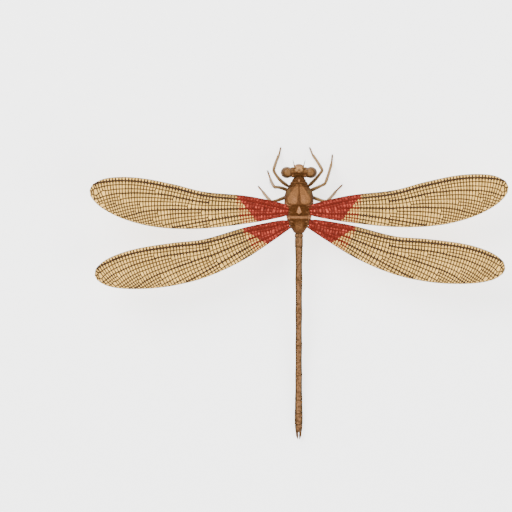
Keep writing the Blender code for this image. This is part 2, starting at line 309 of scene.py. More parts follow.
trunk = ringed("pterothorax", TRUNK_RINGS, TRUNK_SIDES)
places, ways = places_of(trunk)
ring_backs, *ring_sizes = zip(*TRUNK_RINGS)
centres, wides, talls = (np.interp(places[:, 1] + MIDDLE, ring_backs, sizes) for sizes in ring_sizes)
across, upwards = places[:, 0] / wides, (places[:, 2] - centres) / talls
reach = (np.abs(across) ** SQUARENESS + np.abs(upwards) ** SQUARENESS) ** (1 / SQUARENESS)
narrow = 1 - KEEL_NARROWING * np.clip(-upwards / reach, 0.0, 1.0)
places[:, 0] = across / reach * narrow * wides
places[:, 2] = centres + upwards / reach * talls
move_to(trunk, places)
smoothed(trunk, 3)
places, ways = places_of(trunk)
back, side = places[:, 1] + MIDDLE, np.abs(places[:, 0])
top, flank = ramp_up(ways[:, 2], 0.1, 0.6), ramp_up(np.abs(ways[:, 0]), 0.3, 0.7)
# Keel and the crest in front of the wings, with the hollow behind it.
lift = 0.1 * bump_at(side, 0.09) * top * ramp_up(back, 3.9, 4.5) * ramp_up(-back, -6.95, -6.6)
lift += 0.12 * bump_at(back - 6.85 - 0.12 * side, 0.16) * top
lift -= 0.2 * bump_at(back - 7.12, 0.14) * top
# Domed plates between the fore and the hind wings, and the knob behind each pair.
for plate_back, knob_back, size in ((7.55, 8.25, 1.0), (9.3, 9.95, 0.85)):
    lift += 0.2 * size * bump_at(side - 0.5, 0.34) * bump_at(back - plate_back, 0.38) * top
    lift += 0.3 * size * bump_at(side, 0.26) * bump_at(back - knob_back, 0.26) * top
lift -= 0.22 * bump_at(back - 8.75, 0.16) * top
lift -= 0.14 * bump_at(back - 10.4, 0.16) * top
# Seams that slant up the sides from between the legs to the roots of the wings.
SEAMS = (((4.5, 2.2), (6.95, 5.9)), ((5.35, 2.2), (8.05, 5.9)), ((6.6, 2.2), (9.6, 5.9)))
for low, high in SEAMS:
    apart = seam(places, low, high)
    lift += (0.06 * bump_at(apart + 0.16, 0.13) - 0.13 * bump_at(apart, 0.07)) * flank
raise_skin(trunk, places, ways, lift)

SHELL_DARK, SHELL_BROWN, FLANK_BROWN = (0.074, 0.027, 0.007), (0.105, 0.043, 0.015), (0.08, 0.032, 0.008)
COPPER, PALE_COPPER = (0.22, 0.095, 0.035), (0.38, 0.17, 0.075)
OLIVE_BROWN, FLANK_SHADE = (0.11, 0.06, 0.022), (0.03, 0.01, 0.002)
# The two panels in front of the wings, the drop behind them, and the band across between the wings.
panel_inner = 0.06 + 0.17 * ramp_up(back, 4.4, 6.0)
panel_outer = np.interp(back, (3.4, 4.35, 5.3, 5.9, 6.6), (0.4, 0.98, 1.6, 1.86, 1.8))
panel = ramp_up(side, panel_inner, panel_inner + 0.14) * ramp_up(panel_outer - side, -0.16, 0.12)
panel_end = 6.86 - 0.5 * (side - 1.0) ** 2
panel *= ramp_up(panel_end - back, 0.0, 0.22) * top
drop_width = np.interp(back, (7.05, 7.4, 8.1, 8.4), (0.03, 0.16, 0.4, 0.05))
drop = ramp_up(drop_width - side, -0.04, 0.04) * (back > 7.0) * (back < 8.45) * top
band = ramp_up(back, 8.68, 8.8) * ramp_up(-back, -9.18, -9.06) * top
layers = [
    (SHELL_BROWN, ramp_up(-back, -7.0, -6.6) * top),
    (FLANK_BROWN, 0.9 * ramp_up(-ways[:, 2], -0.3, 0.15)),
    (COPPER, 0.6 * ramp_up(-ways[:, 2], 0.05, 0.6)),
    # Painted shade: a near-black band along the steep flanks of the trunk, where its top turns down.
    (FLANK_SHADE, 0.75 * bump_at(ways[:, 2] - 0.2, 0.3) * ramp_up(-back, -11.0, -10.0)),
    (OLIVE_BROWN, bump_at(side - 1.75, 0.42) * bump_at(back - 4.75, 0.5)),
    (COPPER, panel),
    # Painted highlight: a paler patch on the middle of each front panel.
    (PALE_COPPER, 0.35 * panel * bump_at(side - 0.75, 0.4) * bump_at(back - 6.1, 0.6)),
    (COPPER, 0.85 * bump_at(back - 10.6, 0.75) * ramp_up(-side, -0.85, -0.35) * top),
    (PALE_COPPER, np.maximum(drop, 0.6 * band * ramp_up(-side, -1.7, -1.3))),
    (PALE_COPPER, 0.7 * ramp_up(side, 1.4, 1.65) * bump_at(back - 9.05, 0.6)),
    (SHELL_BROWN, 0.5 * ramp_up(back, 10.4, 11.0)),
]
layers += [(PALE_COPPER, 0.75 * bump_at(seam(places, *ends) - 0.04, 0.09) * flank) for ends in SEAMS]
paint(trunk, SHELL_DARK, layers)
shell_finish = painted_finish("copper_shell", 0.48, (0.66, 1.119), 0.22, 0.07, 0.025, gloss=0.015)
settle(trunk, shell_finish, "cuticle", "thorax")

# ------------------------------------------------------------
# The prothorax and the neck: a small loose collar of three rounded lobes, brown with pale spots,
# that hinges the head to the trunk and carries the forelegs. Soft folded skin joins it to both.
COLLAR_RINGS = (
    (1.95, 4.3, 0.5, 0.4),
    (2.2, 4.25, 0.78, 0.58),
    (2.42, 4.2, 0.92, 0.72),
    (2.6, 4.2, 1.06, 0.86),
    (2.8, 4.15, 1.2, 1.0),
    (3.0, 4.1, 1.34, 1.12),
    (3.2, 4.05, 1.46, 1.22),
    (3.42, 3.98, 1.6, 1.3),
    (3.6, 3.94, 1.68, 1.32),
    (3.76, 3.88, 1.68, 1.28),
    (3.95, 3.8, 1.2, 1.0),
)
COLLAR_BROWN = (0.088, 0.036, 0.012)
collar = smoothed(ringed("collar", COLLAR_RINGS, 20), 3)
places, ways = places_of(collar)
back, side = places[:, 1] + MIDDLE, np.abs(places[:, 0])
top = ramp_up(ways[:, 2], 0.0, 0.5)
lift = -0.1 * bump_at(back - 2.92, 0.06) - 0.1 * bump_at(back - 3.42, 0.06)
lift += 0.16 * bump_at(side - 0.42, 0.3) * bump_at(back - 3.17, 0.2) * top
lift -= 0.05 * bump_at(side, 0.07) * top
lift += 0.12 * bump_at(back - 3.62, 0.1) * top * (1 - 0.5 * bump_at(side, 0.2))
raise_skin(collar, places, ways, lift)
pale_spot = ramp_up(-np.hypot(places[:, 0] / 0.13, (back - 2.86) / 0.24), -1.3, -0.8)
apex = ramp_up(0.24 + 0.6 * (back - 3.2) - side, -0.1, 0.1)
apex *= ramp_up(side, 0.04, 0.16) * ramp_up(back, 3.3, 3.6)
paint(collar, COLLAR_BROWN, (
    (SHELL_DARK, bump_at(back - 2.92, 0.07) + bump_at(back - 3.42, 0.07)),
    (COPPER, 0.3 * bump_at(side - 0.55, 0.24) * bump_at(back - 3.17, 0.16) * top),
    (COPPER, 0.9 * apex * top),
    (PALE_COPPER, 0.8 * pale_spot * top),
    (FLANK_BROWN, ramp_up(-ways[:, 2], 0.0, 0.5)),
))
settle(collar, shell_finish, "cuticle", "prothorax")

# ------------------------------------------------------------
# The head: a hard wide capsule like a dumb-bell, drawn out on both sides to hold the eyes, with
# a ridge between them that carries three beads of simple eyes. Dark brown, and paler in front.

# The head's rounded lobes, as (centre, half sizes). Those off the middle are on both sides.
HEAD_LOBES = (
    ((0.0, 1.55, 4.35), (1.75, 0.66, 1.0)),
    ((0.0, 1.25, 5.1), (0.82, 0.5, 0.42)),
    ((1.25, 1.5, 4.75), (0.72, 0.56, 0.62)),
    ((1.95, 1.56, 4.3), (0.5, 0.74, 1.02)),
    ((0.9, 2.0, 4.55), (0.62, 0.34, 0.6)),
    ((0.0, 0.85, 4.5), (0.92, 0.42, 0.62)),
    ((1.05, 0.98, 3.8), (0.5, 0.42, 0.66)),
)
# The three simple eyes on top, as (out, back, up, radius).
BEADS = {"front": (0.0, 1.1, 5.56, 0.13), "left": (0.34, 1.4, 5.52, 0.11), "right": (-0.34, 1.4, 5.52, 0.11)}


def two_sided(lobes):
    """The lobes, with each one that lies off the middle repeated on the other side."""
    both = []
    for (out, back_at, up), halves in lobes:
        both.append(((out, back_at, up), halves))
        if out:
            both.append(((-out, back_at, up), halves))
    return both


def lobed(name, lobes, fineness, passes):
    """One smoothed skin over rounded lobes that run together, each a ball with (centre, half sizes)."""
    balls = []
    for centre, halves in lobes:
        bpy.ops.mesh.primitive_uv_sphere_add(segments=32, ring_count=20, radius=1.0, location=spot(*centre))
        balls.append(sized("ball", halves))
    for ball in balls:
        ball.select_set(True)
    bpy.context.view_layer.objects.active = balls[0]
    bpy.ops.object.join()
    piece = bpy.context.object
    piece.name = name
    reshape(piece, "REMESH", mode="VOXEL", voxel_size=fineness)
    reshape(piece, "SMOOTH", factor=0.5, iterations=passes)
    bpy.ops.object.shade_smooth()
    return piece


capsule = lobed("head_capsule", two_sided(HEAD_LOBES), 0.05, 10)
places, ways = places_of(capsule)
back, height, side = places[:, 1] + MIDDLE, places[:, 2], np.abs(places[:, 0])
top = ramp_up(ways[:, 2], 0.1, 0.6)
lift = -0.06 * bump_at(side - 0.78, 0.07) * top * ramp_up(-back, -1.9, -1.5)
lift += 0.12 * bump_at(side, 0.3) * bump_at(back - 1.12, 0.2) * top
lift += 0.1 * bump_at(side - 0.34, 0.14) * bump_at(back - 1.38, 0.14) * top
lift -= 0.07 * bump_at(back - 1.78, 0.07) * top * ramp_up(-side, -1.5, -1.2)
lift += 0.05 * bump_at(side - 1.68, 0.07)
raise_skin(capsule, places, ways, lift)
DEEP_BROWN, BRIDGE_TAN, FACE_PINK = (0.078, 0.032, 0.009), (0.17, 0.08, 0.026), (0.41, 0.205, 0.078)
brow = np.interp(back, (0.0, 0.6, 1.0, 1.3, 1.6), (0.7, 0.8, 0.72, 0.5, 0.12))
front = ramp_up(-back, -1.6, -1.3)
layers = [
    (BRIDGE_TAN, 0.9 * ramp_up(side, 0.2, 0.6) * front * top),
    (BRIDGE_TAN, ramp_up(side, 0.6, 0.75) * ramp_up(-back, -1.35, -1.1) * ramp_up(-height, -4.3, -4.0)),
    (DEEP_BROWN, ramp_up(back - 0.12 * side, 1.42, 1.62)),
    (FACE_PINK, ramp_up(brow - side, -0.14, 0.16) * front * ramp_up(height, 4.4, 4.7)),
]
for out, back_at, _, radius in BEADS.values():
    layers.append((DEEP_BROWN, bump_at(np.hypot(places[:, 0] - out, back - back_at), 1.5 * radius) * top))
layers.append((PALE_COPPER, 0.6 * bump_at(side - 1.05, 0.14) * bump_at(back - 2.0, 0.13)))
paint(capsule, SHELL_BROWN, layers)
settle(capsule, shell_finish, "cuticle", "head")

# ------------------------------------------------------------
# The two compound eyes: large domes of packed six-sided lenses, glossy, brown above and tan
# below, each set in a thin brown rim that seals it to the head.
EYE_CENTRE, EYE_HALVES, LENS_DOME = (2.0, 1.48, 4.38), (1.02, 0.95, 1.22), 0.012
EYE_TAN, EYE_BROWN = (0.21, 0.1, 0.034), (0.11, 0.05, 0.015)
EYE_EDGE_SHADE, RIM_PALE = (0.05, 0.022, 0.005), (0.26, 0.17, 0.06)
SIDES = (("left", 1.0), ("right", -1.0))
eye_finish = painted_finish("eye_lenses", 0.3, (0.7, 1.105), 0.18, 0.05, 0.004, gloss=0.08)
rim_finish = painted_finish("pale_skin", 0.55, (0.8, 1.07), 0.1, 0.05, 0.01)
for name, sign in SIDES:
    out, back_at, up = EYE_CENTRE
    bpy.ops.mesh.primitive_ico_sphere_add(subdivisions=5, radius=1.0, location=spot(sign * out, back_at, up))
    eye = sized("compound_eye_" + name, EYE_HALVES)
    lens_count = len(eye.data.vertices)
    reshape(eye, "SUBSURF", subdivision_type="SIMPLE", levels=1, render_levels=1)
    places, ways = places_of(eye)
    places[:lens_count] += ways[:lens_count] * LENS_DOME
    move_to(eye, places)
    bpy.ops.object.shade_smooth()
    across = sign * (places[:, 0] - sign * out) / EYE_HALVES[0]
    along = (places[:, 1] + MIDDLE - back_at) / EYE_HALVES[1]
    away = np.hypot(across + 0.25, along)
    upper = ramp_up(places[:, 2], 3.3, 4.9)
    outer = ramp_up(np.hypot(across, along), 0.86, 0.96) * ramp_up(across, -0.6, 0.2)
    # Painted highlight and shade: the top of each eye keeps a pale tan spot a little towards the middle and
    # darkens to a dark brown edge; the brown above and the tan below are the eye's own colours.
    paint(eye, EYE_TAN, (
        (EYE_BROWN, ramp_up(away, 0.45, 0.75) * upper),
        (EYE_EDGE_SHADE, 0.8 * ramp_up(away + 0.3 * along, 0.74, 0.95) * upper),
        (RIM_PALE, 0.6 * outer * upper),
    ))
    settle(eye, eye_finish, "eye", "eye_" + name)
    bpy.ops.mesh.primitive_torus_add(
        major_segments=64, minor_segments=12, major_radius=1.0, minor_radius=0.05,
        location=spot(sign * 1.42, 1.5, 4.36), rotation=(0.0, math.pi / 2, 0.0),
    )
    rim = sized("eye_rim_" + name, (1.03, 0.8, 1.0), turned=True)
    bpy.ops.object.shade_smooth()
    paint(rim, EYE_BROWN)
    settle(rim, rim_finish, "eye", "eye_" + name)

# ------------------------------------------------------------
# The three simple eyes on top of the head, which see only light and dark: clear amber beads,
# each widened at its foot where the hard shell of the head holds it.
BEAD_DARK, BEAD_AMBER = (0.1, 0.04, 0.012), (0.17, 0.08, 0.025)
bead_finish, nodes, links, shader = new_finish("amber_bead", 0.12)
cloudy = shades(nodes, links, mottle(nodes, links, 0.15), ((0.3, BEAD_DARK), (0.7, BEAD_AMBER)))
links.new(cloudy, shader.inputs["Base Color"])
for name, (out, back_at, up, radius) in BEADS.items():
    place = spot(out, back_at, up)
    bpy.ops.mesh.primitive_uv_sphere_add(segments=24, ring_count=16, radius=radius, location=place)
    bead = sized("simple_eye_" + name)
    bpy.ops.object.mode_set(mode="EDIT")
    bpy.ops.mesh.select_all(action="DESELECT")
    bpy.ops.object.mode_set(mode="OBJECT")
    for face in bead.data.polygons:
        face.select = face.center.z < up - 0.3 * radius
    bpy.ops.object.mode_set(mode="EDIT")
    bpy.ops.transform.resize(value=(1.35, 1.35, 0.8), center_override=place)
    bpy.ops.object.mode_set(mode="OBJECT")
    bpy.ops.object.shade_smooth()
    settle(bead, bead_finish, "eye", "head")

# ------------------------------------------------------------
# The face: a pale swollen plate that juts out between the eyes, with a narrow plate and the
# upper lip hanging below it. Smooth, waxy, pinkish tan.
FACE_LOBES = (
    ((0.0, 0.64, 4.26), (0.88, 0.6, 0.44)),
    ((0.0, 0.74, 3.82), (0.8, 0.44, 0.2)),
    ((0.0, 0.68, 3.42), (0.76, 0.5, 0.34)),
    ((0.62, 0.86, 3.55), (0.24, 0.34, 0.34)),
)
FACE_DARK = (0.07, 0.03, 0.008)
face = lobed("face_plates", two_sided(FACE_LOBES), 0.04, 5)
places, ways = places_of(face)
back, height, side = places[:, 1] + MIDDLE, places[:, 2], np.abs(places[:, 0])
grooves = bump_at(height - 3.97, 0.05) + bump_at(height - 3.7, 0.05)
lift = -0.06 * grooves
lift -= 0.05 * bump_at(side, 0.06) * ramp_up(-height, -3.45, -3.2)
lift -= 0.05 * bump_at(side - 0.62, 0.05) * ramp_up(-height, -3.8, -3.6)
raise_skin(face, places, ways, lift)
two_spots = bump_at(side - 0.36, 0.14) * bump_at(height - 4.3, 0.12)
paint(face, FACE_PINK, (
    (FACE_DARK, 0.9 * grooves),
    (FACE_DARK, 0.5 * bump_at(side - 0.62, 0.06) * ramp_up(-height, -3.8, -3.6)),
    (COPPER, 0.7 * ramp_up(ways[:, 2], 0.1, 0.6) * ramp_up(height, 4.1, 4.3)),
    (FACE_DARK, 0.6 * ramp_up(-height, -3.2, -3.05) + 0.5 * two_spots),
))
face_finish = painted_finish("waxy_face", 0.4, (0.82, 1.063), 0.2, 0.06, 0.012)
settle(face, face_finish, "face", "face")

# ------------------------------------------------------------
# The mouthparts below: two horny jaws folded behind the upper lip, and the broad lower lip,
# split in three lobes, that closes the mouth from underneath.
JAW_LOBES = (
    ((0.66, 1.05, 3.3), (0.26, 0.36, 0.42)),
    ((0.44, 0.88, 3.02), (0.26, 0.28, 0.22)),
    ((0.2, 0.74, 2.95), (0.17, 0.18, 0.12)),
)
LIP_LOBES = (
    ((0.0, 1.5, 2.92), (0.56, 0.6, 0.28)),
    ((0.0, 1.04, 2.74), (0.3, 0.42, 0.15)),
    ((0.4, 1.12, 2.8), (0.24, 0.48, 0.18)),
    ((0.0, 1.75, 3.4), (0.6, 0.35, 0.4)),
)
JAW_TAN, JAW_TIP, LIP_BROWN = (0.2, 0.1, 0.036), (0.025, 0.01, 0.004), (0.1, 0.046, 0.014)
for name, sign in SIDES:
    jaw = lobed("jaw_" + name, [((sign * o, b, u), halves) for (o, b, u), halves in JAW_LOBES], 0.035, 5)
    places, _ = places_of(jaw)
    paint(jaw, JAW_TAN, [(JAW_TIP, ramp_up(-np.abs(places[:, 0]), -0.4, -0.15))])
    settle(jaw, face_finish, "face", "mouthparts")
lip = lobed("lower_lip", two_sided(LIP_LOBES), 0.04, 5)
places, ways = places_of(lip)
side = np.abs(places[:, 0])
clefts = bump_at(side - 0.2, 0.05) * ramp_up(-places[:, 1], MIDDLE - 1.4, MIDDLE - 1.2)
raise_skin(lip, places, ways, -0.06 * clefts)
paint(lip, LIP_BROWN, [(JAW_TAN, 0.8 * bump_at(side - 0.42, 0.2))])
settle(lip, face_finish, "face", "mouthparts")

# ------------------------------------------------------------
# The feelers: short stiff bristles, each with a stout pale foot joint, a second joint, and a
# thread that thins to nothing.
FEELER = (
    ((0.64, 0.8, 4.9), 0.13), ((0.68, 0.7, 5.04), 0.155), ((0.71, 0.6, 5.17), 0.15),
    ((0.73, 0.54, 5.24), 0.08), ((0.75, 0.49, 5.29), 0.1), ((0.8, 0.3, 5.45), 0.11),
    ((0.83, 0.18, 5.54), 0.09), ((0.85, 0.12, 5.58), 0.055), ((0.87, 0.04, 5.63), 0.07),
    ((0.92, -0.12, 5.72), 0.065), ((0.98, -0.36, 5.85), 0.05), ((1.02, -0.58, 5.93), 0.025),
)
FEELER_TAN, FEELER_TIP, FEELER_JOINT = (0.3, 0.17, 0.065), (0.09, 0.045, 0.015), (0.12, 0.06, 0.02)


def tube(name, points, sides=12):
    """A closed tube along points, each given as (place, radius)."""
    curve = bpy.data.curves.new(name, "CURVE")
    curve.dimensions, curve.bevel_depth, curve.use_fill_caps = "3D", 1.0, True
    curve.bevel_resolution = sides // 4 - 1
    line = curve.splines.new("POLY")
    line.points.add(len(points) - 1)
    for point, (place, radius) in zip(line.points, points):
        point.co, point.radius = (*place, 1.0), radius
    only(in_scene(name, curve))
    bpy.ops.object.convert(target="MESH")
    piece = bpy.context.object
    with editing(piece):
        bpy.ops.mesh.remove_doubles(threshold=0.0005)
        bpy.ops.mesh.normals_make_consistent(inside=False)
    bpy.ops.object.shade_smooth()
    return piece


for name, sign in SIDES:
    feeler = tube("feeler_" + name, [(spot(sign * o, b, u), r) for (o, b, u), r in FEELER], 16)
    places, _ = places_of(feeler)
    paint(feeler, FEELER_TAN, (
        (FEELER_TIP, ramp_up(-places[:, 1], MIDDLE - 0.12, MIDDLE + 0.2)),
        (FEELER_JOINT, bump_at(places[:, 2] - 5.3, 0.05)),
    ))
    settle(feeler, rim_finish, "cuticle", "antenna_" + name)

# ------------------------------------------------------------
# The abdomen: ten hard rings joined by thin dark folds, long and slender, drooping until its end
# lies on the table. Dark brown, with a broad pale speckled stripe down the back.
RING_ENDS = (11.55, 12.25, 13.9, 19.4, 24.9, 30.3, 35.3, 39.4, 41.7, 43.5, 44.7)
RING_JOINTS = (0.66, 0.68, 0.66, 0.62, 0.6, 0.59, 0.6, 0.64, 0.69, 0.66, 0.52)
RING_WAISTS = (0.72, 0.7, 0.57, 0.55, 0.54, 0.55, 0.58, 0.65, 0.7, 0.62)
FRONT_UP, TAIL_UP, DROOP = 4.55, 0.45, 1.35
RING_STEPS = (0.25, 0.4, 0.55, 0.7, 0.85)


def tail_up(back):
    run = (back - RING_ENDS[0]) / (RING_ENDS[-1] - RING_ENDS[0])
    return TAIL_UP + (FRONT_UP - TAIL_UP) * np.clip(1 - run, 0.0, 1.0) ** DROOP


tail_rings = [(11.3, tail_up(11.3), 0.45, 0.45)]
for front, rear, first, last, waist in zip(
    RING_ENDS, RING_ENDS[1:], RING_JOINTS, RING_JOINTS[1:], RING_WAISTS
):
    long, bend = rear - front, 2 * waist - (first + last) / 2
    stops = [(front + 0.02, 0.9), (front + 0.08, 0.99), (front + 0.2, 1.02)]
    stops += [(front + long * step, 1.0) for step in RING_STEPS if 0.35 < long * step < long - 0.3]
    stops += [(rear - 0.2, 1.03), (rear - 0.1, 1.05), (rear - 0.03, 1.02)]
    for at, swell in stops:
        t = (at - front) / long
        radius = ((1 - t) ** 2 * first + 2 * t * (1 - t) * bend + t * t * last) * swell
        tail_rings.append((at, float(tail_up(at)), radius, radius * 0.98))
tail_rings += [(44.72, TAIL_UP, 0.4, 0.38), (44.82, TAIL_UP + 0.03, 0.22, 0.2)]
tail = smoothed(ringed("abdomen", tail_rings, 20), 2)
places, ways = places_of(tail)
back, side = places[:, 1] + MIDDLE, places[:, 0]
under, over = ramp_up(-ways[:, 2], 0.1, 0.7), ramp_up(ways[:, 2], 0.1, 0.7)
lift = 0.03 * bump_at(side, 0.06) * over - 0.07 * bump_at(side, 0.09) * under * ramp_up(back, 14.0, 14.6)
lift += 0.28 * bump_at(back - 13.05, 0.5) * bump_at(side, 0.45) * under
lift += 0.12 * bump_at(back - 13.7, 0.16) * bump_at(side, 0.25) * under
places += ways * lift[:, None]
places[:, 2] = np.maximum(places[:, 2], 0.0)
move_to(tail, places)
TAIL_BROWN, TAIL_DARK, TAIL_PALE = (0.1, 0.045, 0.014), (0.05, 0.026, 0.005), (0.215, 0.104, 0.044)
past = back[:, None] - np.array(RING_ENDS)[None, :]
to_joint = np.min(np.abs(past), axis=1)
after_joint = np.min(np.where(past > 0, past, 9.0), axis=1)
paint(tail, TAIL_BROWN, (
    (TAIL_PALE, ramp_up(-np.abs(side), -0.48, -0.22) * over),
    (TAIL_DARK, ramp_up(np.abs(ways[:, 0]), 0.45, 0.75)),
    (TAIL_PALE, 0.7 * ramp_up(-ways[:, 2], 0.3, 0.7)),
    (TAIL_PALE, 0.5 * bump_at(after_joint - 0.35, 0.16)),
    (TAIL_DARK, 0.6 * ramp_up(-to_joint, -0.17, -0.05)),
    (TAIL_PALE, 0.35 * ramp_up(-back, -14.5, -12.8) * ramp_up(to_joint, 0.1, 0.2)),
))
tail_finish = painted_finish("tail_shell", 0.45, (0.38, 1.217), 0.38, 0.08, 0.015, gloss=0.04)
settle(tail, tail_finish, "abdomen", *(f"abdomen_s{ring:02d}" for ring in range(1, 11)))

# ------------------------------------------------------------
# The claspers at the end of the tail: two curved horny pincers that meet at their tips, over two
# short blunt lower ones.
UPPER_FRONT, UPPER_LENGTH, UPPER_STEPS = 44.3, 1.7, 14
LOWER_FRONT, LOWER_STEP = 44.4, 0.09
for name, sign in SIDES:
    points = []
    for step in range(UPPER_STEPS + 1):
        run = step / UPPER_STEPS
        arch = math.sin(math.pi * run)
        out = sign * (0.27 + 0.07 * arch - 0.14 * run)
        place = spot(out, UPPER_FRONT + UPPER_LENGTH * run, TAIL_UP + 0.1 + 0.08 * arch)
        radius = 0.24 * (1 - run) ** 0.55 + 0.05 * math.exp(-(((run - 0.62) / 0.12) ** 2)) + 0.02
        points.append((place, radius))
    upper = tube("clasper_upper_" + name, points, 16)
    places, _ = places_of(upper)
    paint(upper, TAIL_BROWN, [(TAIL_PALE, ramp_up(places[:, 1] + MIDDLE, 45.2, 45.9))])
    settle(upper, tail_finish, "abdomen", "clasper_" + name)
    points = []
    for k in range(9):
        place = spot(sign * 0.17, LOWER_FRONT + LOWER_STEP * k, TAIL_UP - 0.2 + 0.02 * k)
        points.append((place, 0.17 - 0.014 * k))
    lower = tube("clasper_lower_" + name, points, 16)
    paint(lower, TAIL_BROWN)
    settle(lower, tail_finish, "abdomen", "clasper_" + name)

# ------------------------------------------------------------
# The six legs: long thin stilts held forward, each a hip, a short ring, a thigh, a shin and a
# three-jointed foot with two claws. Tan, darker at the joints, with rows of stiff black spines.
HIPS = {
    "foreleg": ((0.72, 4.1, 2.4), (1.4, 3.85, 1.45)),
    "midleg": ((0.78, 4.85, 2.2), (1.5, 4.6, 1.35)),
    "hindleg": ((0.8, 5.5, 2.1), (1.55, 5.18, 1.3)),
}
# The knee, ankle and toe of each leg, and how far its thigh bows off a straight line.
STANCES = {
    "foreleg_left": ((4.22, 1.1, 3.85), (3.25, -1.65, 0.42), (3.0, -2.8, 0.12), (0.3, 0.25, 0.14)),
    "foreleg_right": ((3.92, 1.1, 3.85), (2.3, -1.6, 0.42), (1.85, -2.8, 0.12), (0.12, 0.1, 0.14)),
    "midleg_left": ((4.05, 3.95, 4.85), (4.75, 2.45, 0.42), (5.2, 1.1, 0.12), (0.0, -0.22, 0.14)),
    "midleg_right": ((4.35, 3.35, 4.5), (5.5, -0.2, 0.42), (5.65, -1.6, 0.12), (0.0, 0.05, 0.14)),
    "hindleg_left": ((4.6, 6.35, 5.3), (6.0, 4.6, 0.42), (6.75, 3.7, 0.12), (0.0, 0.16, 0.14)),
    "hindleg_right": ((4.6, 6.3, 5.3), (6.25, 4.5, 0.42), (7.3, 3.45, 0.12), (0.0, 0.16, 0.14)),
}
THIGH, SHIN, FOOT, SPINE_RADIUS = 0.31, 0.29, 0.18, 0.022
SHIN_BOW = (0.07, 0.0, 0.07)
LEG_SHADED_TAN, LEG_LIT_TAN, LEG_DARK = (0.2, 0.115, 0.045), (0.25, 0.15, 0.065), (0.07, 0.034, 0.01)
SPINE_BLACK = (0.02, 0.01, 0.005)
# Where along the hip and each limb the leg swells and narrows. The hip's are radii, and the others
# are shares of the limb's own radius.
HIP_RADII = ((0.0, 0.38), (0.35, 0.42), (0.72, 0.36), (1.0, 0.27))
THIGH_SWELLS = (
    (0.04, 0.86), (0.07, 1.02), (0.09, 0.7), (0.12, 0.98), (0.25, 1.12), (0.42, 1.08),
    (0.6, 0.98), (0.76, 0.88), (0.86, 0.84), (0.91, 0.9),
)
SHIN_SWELLS = ((0.07, 0.78), (0.1, 1.0), (0.16, 1.02), (0.3, 0.98), (0.5, 0.92), (0.75, 0.88), (0.95, 0.98))
FOOT_SWELLS = (
    (0.0, 0.85), (0.04, 1.05), (0.2, 1.05), (0.23, 0.75), (0.27, 1.0), (0.52, 1.02), (0.55, 0.75),
    (0.6, 0.95), (0.9, 0.92), (0.98, 0.7),
)


def bowed(start, end, bow, run):
    """A place on a limb that curves away from its straight line by bow at the middle."""
    return start.lerp(end, run) + bow * (4 * run * (1 - run))


def leg_points(hip, ring, knee, ankle, toe, thigh_bow, shin_bow):
    """The leg's middle line with its radii, from the hip to the last foot joint."""
    points = [(hip.lerp(ring, run), radius) for run, radius in HIP_RADII]
    points += [(bowed(ring, knee, thigh_bow, run), THIGH * swell) for run, swell in THIGH_SWELLS]
    above, below = bowed(ring, knee, thigh_bow, 0.945), bowed(knee, ankle, shin_bow, 0.06)
    points += [(above, THIGH * 0.98), (above.lerp(knee, 0.5), THIGH * 0.9)]
    points.append((below.lerp(knee, 0.3), SHIN * 0.98))
    points += [(bowed(knee, ankle, shin_bow, run), SHIN * swell) for run, swell in SHIN_SWELLS]
    points += [(ankle.lerp(toe, run), FOOT * swell) for run, swell in FOOT_SWELLS]
    return points


def mesh_piece(name, places, faces):
    """A piece made straight from its corners and faces, for a shape that no primitive starts."""
    mesh = bpy.data.meshes.new(name)
    mesh.from_pydata([tuple(place) for place in places], [], faces)
    return in_scene(name, mesh)


def spikes(name, thorns, sides=5):
    """Thin cones in one mesh, each given as (foot, tip, radius at the foot)."""
    corners, faces = [], []
    for foot, tip, radius in thorns:
        way = (tip - foot).normalized()
        first = way.orthogonal().normalized()
        second = way.cross(first)
        start = len(corners)
        for k in range(sides):
            turn = 2 * math.pi * k / sides
            corners.append(foot + (first * math.cos(turn) + second * math.sin(turn)) * radius)
        corners.append(tip)
        faces.append(tuple(start + k for k in reversed(range(sides))))
        faces += [(start + k, start + (k + 1) % sides, start + sides) for k in range(sides)]
    return mesh_piece(name, corners, faces)


